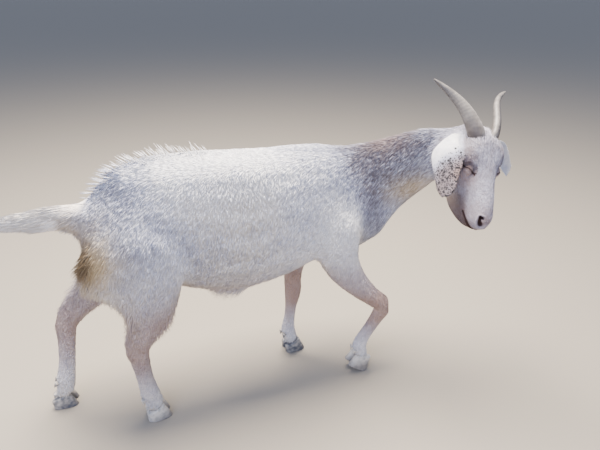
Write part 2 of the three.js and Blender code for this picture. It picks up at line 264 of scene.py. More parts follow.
class Head:      # the head's own frame: x to the nose, y to its left, z out of the forehead
    def __init__(self, values):
        self.turn = np.array(Euler([math.radians(v) for v in values["turn"]], "XYZ").to_matrix())
        middle = (points(cadMesh(["eye_left"])).mean(0) + points(cadMesh(["eye_right"])).mean(0)) / 2
        self.place = middle - self.turn @ np.array(values["eyes"])

    def inside(self, places):
        return (places - self.place) @ self.turn

    def outside(self, places):
        return np.asarray(places) @ self.turn.T + self.place


head = Head(headValues)


def regions(places):      # the number in fleshNodes of the CAD node nearest to each point
    corners, faces, owner = [], [], []
    for number, name in enumerate(fleshNodes):
        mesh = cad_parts[name].data
        start = len(corners)
        corners.extend(v.co.copy() for v in mesh.vertices)
        for face in mesh.polygons:
            faces.append([start + i for i in face.vertices])
            owner.append(number)
    tree = BVHTree.FromPolygons(corners, faces)
    return np.array([owner[tree.find_nearest(p)[2]] for p in places])


def perNode(values, region):      # {node or kind of node: value} spread over the vertices
    table = [next(v for k, v in values.items() if name.startswith(k)) for name in fleshNodes]
    return np.array(table, dtype=float)[region]


# the skin

skinValues = {
    "blankVoxel": 0.005,
    "smoothing": {"trunk": 0.5, "neck": 0.5, "head": 0.14, "tail": 0.3,
                  "leg_front": 0.22, "leg_hind": 0.26, "ear": 0.1},
    "smoothingRounds": 44,
    "lowerLegs": 0.62,      # how much of that smoothing the lower legs are spared
    "blended": ("leg_hind", "leg_front", "neck"),      # what flows into the trunk without a crease
    "blendWidth": 60,       # rounds of blurring
    "blendRounds": 170,
    "earSwell": 0.0007,     # so that thin ears outlast the voxels
    "voxel": 0.0023,
    "depth": {"trunk": 0.0030, "neck": 0.0035, "head": 0.0004,      # of the coat over the skin
              "tail": 0.0060, "leg": 0.0010, "ear": 0.0004},
    "depthWidth": 120,      # rounds of blurring
    "share": 0.20,          # of the fine mesh's faces that stay
}


def blankBody(values):      # trunk, neck, head, tail and legs as one smooth mesh, at their full size
    names = fleshNodes[:8] + ["eye_left", "eye_right"]
    body = applied(cadMesh(names), ("REMESH", {"mode": "VOXEL", "voxel_size": values["blankVoxel"]}))
    smooth = blurred(perNode(values["smoothing"], regions(points(body))), averager(body), 12)
    low = ease(points(body)[:, 2], 0.42, 0.30)      # 1 below the knees and hocks
    relax(body, smooth * (1 - values["lowerLegs"] * low), values["smoothingRounds"])
    owners, mean = regions(points(body)), averager(body)
    seams = np.zeros(len(owners))
    for limb in values["blended"]:
        own = np.array([name.startswith(limb) for name in fleshNodes], dtype=float)[owners]
        own = blurred(own, mean, values["blendWidth"])
        seams = np.maximum(seams, 4 * own * (1 - own))      # 1 where limb and trunk meet
    relax(body, 0.6 * seams * ease(points(body)[:, 2], 0.38, 0.47), values["blendRounds"])
    return body


def makeSkin(values):
    ears = [applied(cadMesh([name]), ("SUBSURF", {"levels": 2, "render_levels": 2}),
                    ("DISPLACE", {"strength": values["earSwell"], "mid_level": 0.0}))
            for name in fleshNodes[8:]]
    whole = joined(blankBody(values), *ears)
    mesh = applied(whole, ("REMESH", {"mode": "VOXEL", "voxel_size": values["voxel"]}))
    relax(mesh, np.full(len(mesh.vertices), 0.5), 3)
    depth = blurred(perNode(values["depth"], regions(points(mesh))), averager(mesh), values["depthWidth"])
    setPoints(mesh, points(mesh) - normals(mesh) * depth[:, None])
    return thinned(mesh, values["share"])


def thinned(mesh, share):      # fewer faces, but all of them kept on the head and ears
    carrier = asObject(mesh, "fine")
    region = regions(points(mesh))
    keep = carrier.vertex_groups.new(name="keep")
    keep.add(list(range(len(region))), 0.0, "REPLACE")
    keep.add(np.flatnonzero(perNode({"head": 1, "ear": 1, "": 0}, region)).tolist(), 1.0, "REPLACE")
    thin = carrier.modifiers.new("thin", "DECIMATE")
    thin.ratio = share
    thin.vertex_group = "keep"
    thin.invert_vertex_group = True
    thin.use_collapse_triangulate = True
    result = bpy.data.meshes.new_from_object(carrier.evaluated_get(bpy.context.evaluated_depsgraph_get()))
    bpy.data.objects.remove(carrier)
    return result


# the face, in the head's frame and in metres; the right side is given and the left mirrors it

faceValues = {
    "eye": (0.065, -0.039, -0.028),
    "lidRadius": 0.0136,
    "slit": [       # from the outer corner to the tear duct
        (0.0565, -0.0525, -0.0285), (0.0615, -0.0515, -0.0240), (0.0665, -0.0450, -0.0190),
        (0.0730, -0.0370, -0.0180), (0.0790, -0.0315, -0.0170)],
    "fold": [       # the crease of the upper lid
        (0.0510, -0.0520, -0.0230), (0.0560, -0.0450, -0.0170), (0.0620, -0.0370, -0.0140),
        (0.0700, -0.0320, -0.0135)],
    "lidShade": {-1: 0.68, 1: 0.3},      # the right lids are darker than the left
    "nostril": [    # a comma, from its hook to its wide end
        (0.1800, -0.0130, -0.0190), (0.1770, -0.0180, -0.0220), (0.1860, -0.0185, -0.0260),
        (0.1960, -0.0125, -0.0300)],
    "nostrilReach": 0.0058,
    "nostrilDepth": 0.0100,
    "mouth": [(0.1570, -0.0340, -0.0610), (0.1750, -0.0310, -0.0580), (0.1880, -0.0250, -0.0570),
              (0.1960, -0.0140, -0.0600), (0.2000, 0.0, -0.0630)],
    "furrows": (-0.031, -0.020, -0.009, 0.003, 0.014, 0.024, 0.033),       # lines down the forehead
}


def mirrored(vector, side):
    return np.array(vector) * (1, -side, 1)


def distance(places, stops, side):      # how far each place is from a line drawn through a few stops
    stops = mirrored(stops, side)
    steps = np.linspace(0, len(stops) - 1, 50)
    samples = np.stack([np.interp(steps, range(len(stops)), axis) for axis in stops.T], 1)
    result = np.full(len(places), 1.0)
    close = np.flatnonzero(np.linalg.norm(places - samples.mean(0), axis=1) < 0.06)
    gaps = places[close][:, None] - samples[None]
    result[close] = np.sqrt((gaps ** 2).sum(2).min(1))
    return result


def refine(mesh, values):      # smaller faces round the eyes, nostrils and mouth
    widths = {"slit": 0.016, "nostril": 0.013, "mouth": 0.009}
    for reach in (1.0, 0.7):
        bm = bmesh.new()
        bm.from_mesh(mesh)
        local = head.inside(points(mesh))
        wanted = np.zeros(len(local), dtype=bool)
        for feature, width in widths.items():
            for side in (-1, 1):
                wanted |= distance(local, values[feature], side) < width * reach
        bm.verts.ensure_lookup_table()
        edges = [e for e in bm.edges if wanted[e.verts[0].index] and wanted[e.verts[1].index]]
        bmesh.ops.subdivide_edges(bm, edges=edges, cuts=1, use_grid_fill=True)
        bmesh.ops.triangulate(bm, faces=[f for f in bm.faces if len(f.verts) > 3])
        bm.to_mesh(mesh)
        bm.free()
    local = head.inside(points(mesh))
    relax(mesh, 0.5 * ease(local[:, 0], -0.02, 0.02) * (np.linalg.norm(local, axis=1) < 0.25), 2)


def line(apart, width):      # 1 on a line and falling off over its width, by how far apart from it
    return np.exp(-(apart / width) ** 2)


def closeLids(local, outward, side, values):      # the places moved, and how dark the lids are, with painted shade in the slit and in the crease above it
    lid = values["lidRadius"]
    centre = mirrored(values["eye"], side)
    away = local - centre
    reach = np.linalg.norm(away, axis=1)
    ball = centre + unit(away) * lid
    slit, fold = (values["eye"] + unit(np.array(values[part]) - values["eye"]) * lid
                  for part in ("slit", "fold"))
    apart = distance(ball, slit, side) + (reach > 0.023)
    crease = distance(ball, fold, side) + (reach > 0.023)
    closing = np.exp(-(apart / 0.011) ** 4) * (reach < 0.021)
    closed = np.maximum(reach + (lid - reach) * closing, lid * (reach < 0.020))
    furrow = line(crease, 0.0011)
    raised = 0.0008 * line(apart - 0.0028, 0.0012) - 0.0017 * line(apart, 0.0013) - 0.0016 * furrow
    local = centre + unit(away) * closed[:, None] + outward * raised[:, None]
    shade = values["lidShade"][side] * (1 - ease(apart + crease, 0.0105, 0.0135))
    return local, np.maximum.reduce([line(apart, 0.0034), 0.65 * furrow, shade])


def openNostril(local, outward, side, values):      # the places moved, and the painted shade inside the nostril
    comma = values["nostril"]
    wider = 0.65 + 0.65 * ease(local[:, 0], comma[1][0], comma[3][0])
    apart = distance(local, comma, side) / (values["nostrilReach"] * wider)
    pit = line(apart, 1)
    raised = 0.0016 * line(apart - 1.5, 0.5) - values["nostrilDepth"] * pit ** 1.4
    return local + outward * raised[:, None], ease(pit, 0.22, 0.62)


def cutMouth(local, outward, side, values):      # the places moved, and how dark the line between the lips is, painted shade in that crease
    apart = distance(local, values["mouth"], side)
    raised = 0.0007 * line(apart - 0.0050, 0.0028) - 0.0026 * line(apart, 0.0018)
    local = local + outward * raised[:, None]
    return local, line(apart, 0.0032 + 0.0022 * ease(local[:, 0], 0.165, 0.195))


def sculptFace(mesh, values):      # returns how dark the skin is at each vertex, much of it painted shade in slits, creases and nostrils
    local = head.inside(points(mesh))
    outward = normals(mesh) @ head.turn
    dark = np.zeros(len(local))
    for side in (-1, 1):
        for feature in (closeLids, openNostril, cutMouth):
            local, shade = feature(local, outward, side, values)
            dark = np.maximum(dark, shade)
    for centre in values["furrows"]:
        course = centre + 0.002 * np.sin(local[:, 0] * 130 + centre * 400)
        furrow = line(local[:, 1] - course, 0.0018) * near(local, (0.040, 0, 0), (0.045, 0.05, 0.03))
        local = local - outward * (0.0016 * furrow)[:, None]
        # the furrows get a little painted shade
        dark = np.maximum(dark, 0.10 * furrow)
    setPoints(mesh, head.outside(local))
    return dark


skinMesh = makeSkin(skinValues)
refine(skinMesh, faceValues)
darkAndShadedSkin = sculptFace(skinMesh, faceValues)
print("skin", len(skinMesh.polygons))


# the lie of the coat, its length and its markings, kept on the skin's vertices

class Survey:      # the skin's vertices, the way they face and where on the goat they are
    def __init__(self, mesh):
        self.places, self.out, self.mean = points(mesh), normals(mesh), averager(mesh)
        self.local = head.inside(self.places)
        self.region = regions(self.places)
        self.trunk, self.hind, self.fore = self.on("trunk"), self.on("leg_hind"), self.on("leg_front")
        z = self.places[:, 2]
        self.high = ease(z, 0.33, 0.42)      # 0 on the shanks, 1 above the hocks
        self.breech = self.hind * ease(-self.out[:, 0], 0.25, 0.8) * ease(z, 0.27, 0.33)
        self.breech = self.breech * (1 - ease(z, 0.47, 0.56))
        self.sheath = self.spot(1, "trunk", (0.475, 0.36, 0.03), (0.026, 0.020, 0.03))

    def on(self, kind):      # whether each vertex is on a node, or on a kind of node
        return np.isin(self.region, [i for i, name in enumerate(fleshNodes) if name.startswith(kind)])

    def spot(self, strength, name, shares, radii):      # in a CAD node's box
        return strength * near(self.places, inBox(name, shares), radii)

    def both(self, strength, centre, radii):      # a spot on each side of the head
        return strength * sum(near(self.local, mirrored(centre, side), radii) for side in (-1, 1))


wayValues = {
    "whorl": (0.41, 0.19, 0.88),      # where the hair of each side parts, as shares of the trunk's box
    "whorlReach": 0.15,
    "earRoot": (-0.02, -0.04, -0.054),      # of the right ear, in the head's frame
    "blend": 40,                      # rounds of blurring
}


def hairWay(skin, values):      # which way the hair lies at each vertex
    x, y = skin.places[:, 0], skin.places[:, 1]
    out, local = skin.out, skin.local
    zero, side = np.zeros(len(x)), np.abs(out[:, 1])
    middle, rear = inBox("trunk", (0.5, 0.5, 0.5))[1], inBox("trunk", (0, 0, 0))[0]
    back = 1 - ease(x, rear + 0.02, rear + 0.24)      # 1 at the buttocks, 0 at the loin
    chest, poll = inBox("neck", (0.1, 0.6, 0.3)), inBox("neck", (1.0, 0.2, 0.9))
    ways = {
        "trunk": np.stack([zero - 1, zero, -0.12 - 0.6 * side - 1.3 * back * side], 1),
        "neck": np.tile(unit(chest - poll) + (0, 0, -0.45), (len(x), 1)),
        "tail": np.stack([zero - 1, 0.25 * out[:, 1], 0.10 * out[:, 2] - 0.06], 1),
        "leg": np.stack([-0.15 - 0.35 * skin.high, zero, zero - 1], 1),
        "head": np.stack([zero - 1, 0.35 * np.tanh(local[:, 1] * 30), zero - 0.25], 1) @ head.turn.T,
        "ear_left": unit(local - mirrored(values["earRoot"], 1)) @ head.turn.T,
        "ear_right": unit(local - mirrored(values["earRoot"], -1)) @ head.turn.T,
    }
    whorl = inBox("trunk", values["whorl"])
    level = middle + np.sign(y - middle) * abs(whorl[1] - middle)
    spoke = (skin.places - np.stack([zero + whorl[0], level, zero + whorl[2]], 1)) * (1, 1, 0.45)
    parting = 0.85 * line(np.linalg.norm(spoke, axis=1), values["whorlReach"])[:, None]
    ways["trunk"] = unit(ways["trunk"]) * (1 - parting) + (unit(spoke) + (0, 0, -0.45)) * parting
    way = sum(ways[kind] * skin.on(kind)[:, None] for kind in ways)
    way = blurred(unit(way), skin.mean, values["blend"])
    return unit(way - out * (way * out).sum(1)[:, None])


shapeValues = {          # lengths and widths in metres; the rest are shares
    "long": {"trunk": 0.021, "neck": 0.021, "head": 0.0065, "tail": 0.043,
             "leg_front": 0.012, "leg_hind": 0.014, "ear": 0.0036},
    "wide": {"trunk": 0.0021, "neck": 0.0022, "head": 0.0011, "tail": 0.0028, "leg": 0.0018, "ear": 0.0010},
    "lift": {"trunk": 0.065, "neck": 0.085, "head": 0.055, "tail": 0.10, "leg": 0.09, "ear": 0.015},
    "mottle": {"trunk": 0.45, "neck": 0.50, "head": 0.32, "tail": 0.12, "leg": 0.22, "ear": 0.10},
    "thighs": 0.45,      # how much longer the hair is above the hocks and knees
    "crestWidth": 0.022,
    "crestRise": (0.02, 0.07),      # in metres from the rear of the trunk, where its spikes begin
    "crestFade": (0.22, 0.31),      # and where they end
    "extra": {           # how much longer and how much more raised the hair is
        "mane": (0.006, 0.12), "breech": (0.020, 0.35), "gaskin": (0.012, 1.1), "belly": (0.003, 0.15),
        "sheath": (0.048, 2.8), "crown": (0.012, 0), "brow": (0, 0.55), "horns": (0, 0.2),
        "coronet": (0.007, 0.1)},
    "blend": {"long": 10, "wide": 14, "mottle": 30, "lift": 6, "spike": 4},      # rounds of blurring
}


def hairShape(skin, dark, values):      # the tufts' length, width, rise, unevenness, spikes and number
    x, y, z = skin.places.T
    out, local = skin.out, skin.local
    legs, onHead = skin.hind | skin.fore, skin.on("head")
    middle, rear = inBox("trunk", (0.5, 0.5, 0.5))[1], inBox("trunk", (0, 0, 0))[0]
    brow = near(local, (-0.004, 0, 0.0), (0.022, 0.030, 0.03)) * onHead
    horns = skin.both(1, headValues["hornRoot"], (0.026, 0.026, 0.026)) * onHead
    where = {
        "mane": skin.on("neck") * ease(out[:, 2], 0.55, 0.9),
        "breech": skin.breech,
        "gaskin": skin.hind * ease(out[:, 0], 0.2, 0.7) * line(z - 0.31, 0.030),
        "belly": skin.trunk * ease(-out[:, 2], 0.3, 0.9),
        "sheath": skin.sheath,
        "crown": np.maximum(brow, 0.7 * horns),
        "brow": brow,
        "horns": horns,
        "coronet": legs * (1 - ease(z, 0.055, 0.085)),
    }
    made = {name: perNode(values[name], skin.region) for name in ("long", "wide", "mottle", "lift")}
    made["long"] = made["long"] * (1 + values["thighs"] * skin.high * legs) * (1 - 0.3 * legs * (z < 0.2))
    for name, (longer, higher) in values["extra"].items():
        made["long"] = made["long"] + longer * where[name]
        made["lift"] = made["lift"] + higher * where[name]
    crest = line(y - middle, values["crestWidth"]) * ease(out[:, 2], 0.1, 0.5) * skin.trunk
    made["spike"] = crest * ease(x - rear, *values["crestRise"]) * (1 - ease(x - rear, *values["crestFade"]))
    made = {name: blurred(value, skin.mean, values["blend"][name]) for name, value in made.items()}
    fine = sum(line(distance(local, faceValues[feature], side), 0.014)
               for feature in ("slit", "nostril", "mouth") for side in (-1, 1))
    made["long"] = made["long"] * (1 - 0.65 * np.clip(fine, 0, 1))
    made["thick"] = 1 - 0.97 * blurred(ease(dark, 0.20, 0.50), skin.mean, 2)
    return made


markValues = {
    # bluish-grey hair; on the head and neck it is partly painted shade
    "grey": {"trunk": 0.20, "neck": 0.50, "head": 0.68, "tail": -0.1, "leg": 0.0, "ear": 0.0},
    "haunch": 0.56,      # grey above the hocks, partly painted shade
    "shanks": 0.50,      # how thin the coat is below them, so that skin shows, with painted shade as well
    # a spot is how strong it is, its node, its middle as shares of the node's box and its reach in metres
    "neckPatches": [
        (0.90, "neck", (0.24, 0.34, 0.71), (0.050, 0.15, 0.035)),
        (0.66, "neck", (0.23, 0.30, 0.50), (0.030, 0.15, 0.100)),
        (0.85, "neck", (0.38, 0.35, 0.86), (0.100, 0.10, 0.025)),
        (0.26, "neck", (0.45, 0.30, 0.78), (0.120, 0.15, 0.040))],
    # grey on the rump, flanks and shoulder, partly grey hair and partly painted shade
    "flankPatches": [
        (0.38, "trunk", (0.24, 0.1, 0.62), (0.13, 0.2, 0.12)),
        (0.18, "trunk", (0.18, 0.3, 0.78), (0.11, 0.25, 0.12)),
        (0.22, "trunk", (0.74, 0.3, 0.82), (0.13, 0.25, 0.12)),
        (-0.90, "trunk", wayValues["whorl"], (0.12, 0.2, 0.10))],      # painted highlight: white round the whorl
    "underside": (0.6, "trunk", (0.45, 0.3, 0.0), (0.22, 0.3, 0.07)),
    "tailRoot": (0.5, "tail", (0.85, 0.5, 0.4), (0.03, 0.04, 0.03)),
    "nape": (0.6, "neck", (0.36, 0.4, 0.84), (0.055, 0.05, 0.020)),
    "throat": (0.85, "neck", (0.56, 0.15, 0.52), (0.055, 0.10, 0.035)),
    "yellowed": (1.3, "leg_hind_right", (0.16, 0.25, 0.81), (0.040, 0.08, 0.050)),
    # painted shade in the hollow between the right thigh and the tail
    "stain": (1.8, "leg_hind_right", (0.07, 0.46, 0.815), (0.022, 0.05, 0.034)),
    # on the head: how strong, the middle on its right side and the reach, in the head's frame
    "cheek": (0.55, (0.088, -0.044, -0.036), (0.024, 0.02, 0.024)),
    "lids": (0.22, (0.066, -0.047, -0.020), (0.016, 0.011, 0.014)),
    # painted shade on the head between the ear and the brow, on both sides
    "socket": (0.4, (0.035, -0.053, -0.014), (0.035, 0.014, 0.022)),
    "wing": (0.5, (0.189, -0.009, -0.021), (0.012, 0.007, 0.010)),      # painted shade beside each nostril
    "earEdge": ((0.080, -0.072, -0.020), (0.030, 0.016, 0.02)),
    "jawShade": 0.55,
    "blend": {"haunch": 60, "grey": 22, "warm": 14,      # rounds of blurring
              "cream": 8, "stain": 5, "speck": 2},
}


def markings(skin, dark, values):      # how much of each colour there is at each vertex
    z, local = skin.places[:, 2], skin.local
    onHead, legs = skin.on("head"), skin.hind | skin.fore
    # the underside of the jaw, made greyer, warmer and darker as painted shade
    jaw = ease(local[:, 0], 0.10, 0.16) * ease(-local[:, 2], 0.048, 0.066) * onHead
    haunch = blurred(skin.hind * ease(z, 0.38, 0.50), skin.mean, values["blend"]["haunch"])
    shanks = legs * (1 - skin.high) * ease(z, 0.03, 0.20) * values["shanks"]
    knee = skin.fore * line(z - 0.225, 0.05) + skin.hind * line(z - 0.24, 0.06) * 0.4
    throat = skin.spot(*values["throat"])
    speck = skin.on("ear_right") * ease(local[:, 0] + 0.6 * (local[:, 2] + 0.045), 0.010, 0.080)

    grey = perNode(values["grey"], skin.region) + values["haunch"] * haunch + 0.9 * shanks
    grey = grey + np.maximum.reduce([skin.spot(*spot) for spot in values["neckPatches"]])
    grey = grey + skin.trunk * sum(skin.spot(*spot) for spot in values["flankPatches"])
    # the socket spots, the nostril shade and the jaw add painted shade here
    grey = grey + 0.294 * throat + skin.both(*values["wing"]) + skin.both(*values["socket"]) * onHead + jaw
    # the left ear's side that faces the head is greyed as painted shade
    grey = grey + 0.4 * skin.on("ear_left") * ease(-skin.out[:, 1], 0.0, 0.6) + speck - 0.3 * skin.sheath

    warm = np.maximum(skin.spot(*values["underside"]), knee) + shanks
    warm = warm + skin.spot(*values["tailRoot"]) + skin.spot(*values["nape"])
    warm = warm + skin.both(*values["cheek"]) + skin.both(*values["lids"]) + 0.12 * jaw
    warm = warm + onHead * (0.12 + 0.22 * ease(local[:, 0], 0.12, 0.19))
    earEdge = near(local, *values["earEdge"])
    warm = warm + skin.on("ear_right") * (0.12 * ease(local[:, 0], 0.03, 0.08) + 0.45 * earEdge)

    made = {
        "grey": grey,
        "warm": warm * (1 - skin.sheath),
        "cream": skin.breech * 0.15 + 0.35 * skin.on("tail") + skin.spot(*values["yellowed"]) + throat,
        "stain": skin.spot(*values["stain"]),
        "speck": speck,
    }
    made = {name: blurred(value, skin.mean, values["blend"][name]) for name, value in made.items()}
    made["dark"] = dark + values["jawShade"] * jaw
    return {name: np.clip(value, 0, 1) for name, value in made.items()}


def mapCoat(mesh, dark):
    skin = Survey(mesh)
    way = hairWay(skin, wayValues)
    shape = hairShape(skin, dark, shapeValues)
    colours = markings(skin, dark, markValues)
    for name, value in {"way": way, **shape, **colours}.items():
        setAttribute(mesh, name, value)


mapCoat(skinMesh, darkAndShadedSkin)
print("coat mapped")


# what the coat looks like

furValues = {
    "white": "#f4f2f1",
    "streak": "#b0b3c4",      # the bluish-grey hairs through the white, which also carry painted shade
    "patch": "#6f6a73",       # the darkest of them, on the neck and withers, and in the painted shade of the head
    "warm": "#b6927b",        # skin showing through where the coat is thin, and painted shade on the jaw and lower legs
    "cream": "#e6c88c",       # yellowed hair on the thigh and tail
    "stain": "#624f36",       # painted shade, brown, in the hollow between the right thigh and the tail
    "dark": "#2f1a16",        # lids, nostrils and lips, and the painted shade in the eye's slit, the lid's crease, the nostrils, the mouth's crease, the forehead's furrows and under the jaw
    "speck": "#2a282c",       # the freckles of the right ear
    "specks": ((0.0035, 0.94), (0.0070, 0.52)),      # from one to the next, and how many places have one
    "cloudSize": 0.0455,      # of the broad changes of grey
    "blotchSize": 0.01333,
    "poreSize": 0.00588,      # coarser than real pores, so that it shows
}


def furPaint(name, values, onTufts):      # dull white hair; the skin and its tufts share their markings
    paint, tree, shader = newPaint(name, 0.72 if onTufts else 0.8)
    place = node(tree, "ShaderNodeTexCoord").outputs["Object"]
    marks = {mark: node(tree, "ShaderNodeAttribute", attribute_name=mark).outputs["Fac"]
             for mark in ("grey", "mottle", "cream", "stain", "warm", "speck", "dark")}
    cloud, blotch, pores = (
        node(tree, "ShaderNodeTexNoise", {"Vector": place, "Scale": 1 / values[size], "Detail": detail})
        for size, detail in (("cloudSize", 3.0), ("blotchSize", 3.0), ("poreSize", 2.0)))
    tone = pores
    if onTufts:
        tone = node(tree, "ShaderNodeAttribute", attribute_name="tone").outputs["Fac"]
    uneven = node(tree, "ShaderNodeMath", {0: tone, 1: 0.5}, operation="SUBTRACT")
    uneven = node(tree, "ShaderNodeMath", {0: uneven, 1: marks["mottle"]}, operation="MULTIPLY")
    cloud = node(tree, "ShaderNodeMath", {0: cloud, 1: 0.4, 2: -0.20}, operation="MULTIPLY_ADD")
    blotch = node(tree, "ShaderNodeMath", {0: blotch, 1: 0.5, 2: -0.25}, operation="MULTIPLY_ADD")
    amount = node(tree, "ShaderNodeMath", {0: cloud, 1: marks["grey"]}, operation="ADD")
    amount = node(tree, "ShaderNodeMath", {0: amount, 1: blotch}, operation="ADD")
    amount = node(tree, "ShaderNodeMath", {0: amount, 1: uneven}, operation="SUBTRACT")
    layers = []      # each colour laid over those before it, and where it shows
    for colour, low, high in (("streak", 0.05, 0.55), ("patch", 0.50, 1.00)):
        share = node(tree, "ShaderNodeMapRange", {"Value": amount, "From Min": low, "From Max": high})
        layers.append((colour, share))
    # cream is yellowed hair; the brown in the thigh's hollow is painted shade
    for colour, strength in (("cream", 0.8), ("stain", 0.9), ("warm", 0.75 if onTufts else 0.9)):
        share = node(tree, "ShaderNodeMath", {0: marks[colour], 1: strength}, operation="MULTIPLY")
        layers.append((colour, share))
    for size, chance in values["specks"]:
        cells = node(tree, "ShaderNodeTexVoronoi", {"Vector": place, "Scale": 1 / size}).outputs
        spot = node(tree, "ShaderNodeMapRange", {
            "Value": cells["Distance"], "From Min": 0.52, "From Max": 0.36})
        chosen = node(tree, "ShaderNodeMath", {0: marks["speck"], 1: chance}, operation="MULTIPLY")
        chosen = node(tree, "ShaderNodeMath", {0: chosen, 1: cells["Color"]}, operation="GREATER_THAN")
        layers.append(("speck", node(tree, "ShaderNodeMath", {0: spot, 1: chosen}, operation="MULTIPLY")))
    layers.append(("dark", marks["dark"]))
    mix = linear(values["white"])
    for colour, share in layers:
        mix = node(tree, "ShaderNodeMix", {0: share, 6: mix, 7: linear(values[colour])}, data_type="RGBA")
    tree.links.new(mix.outputs[2], shader.inputs["Base Color"])
    shader.inputs["Specular IOR Level"].default_value = 0.35
    if not onTufts:
        bump = node(tree, "ShaderNodeBump", {"Height": pores, "Strength": 0.35, "Distance": 0.001})
        tree.links.new(bump.outputs[0], shader.inputs["Normal"])
    return paint


skin = asObject(skinMesh, "skin")
skinMesh.polygons.foreach_set("use_smooth", [True] * len(skinMesh.polygons))
skinMesh.materials.clear()
skinMesh.materials.append(furPaint("goat skin under a white coat", furValues, False))
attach(skin, "root")
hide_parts(*fleshNodes)
hairPaint = furPaint("white goat hair", furValues, True)


# the coat

def tuftMesh():      # a lock of many hairs as one closed blade: root at the origin, tip along +X, a unit long
    rings = [(0.0, 0.55, -0.04), (0.42, 1.0, 0.05)]      # along, width and height of its two lower rings
    ways = ((-1, 0), (1, 0), (0, 1))
    corners = [(x, w * 0.5 * c, z + 0.45 * w * s) for x, w, z in rings for c, s in ways]
    corners.append((1.0, 0.0, 0.03))
    faces = [(0, 2, 1), (3, 4, 6), (4, 5, 6), (5, 3, 6)]
    for i in range(3):
        j = (i + 1) % 3
        faces += [(i, j, j + 3), (i, j + 3, i + 3)]
    mesh = bpy.data.meshes.new("tuft")
    mesh.from_pydata(corners, [], faces)
    setAttribute(mesh, "inTuft", np.array([(x, y + 0.5, 0) for x, y, _ in corners]))
    return mesh


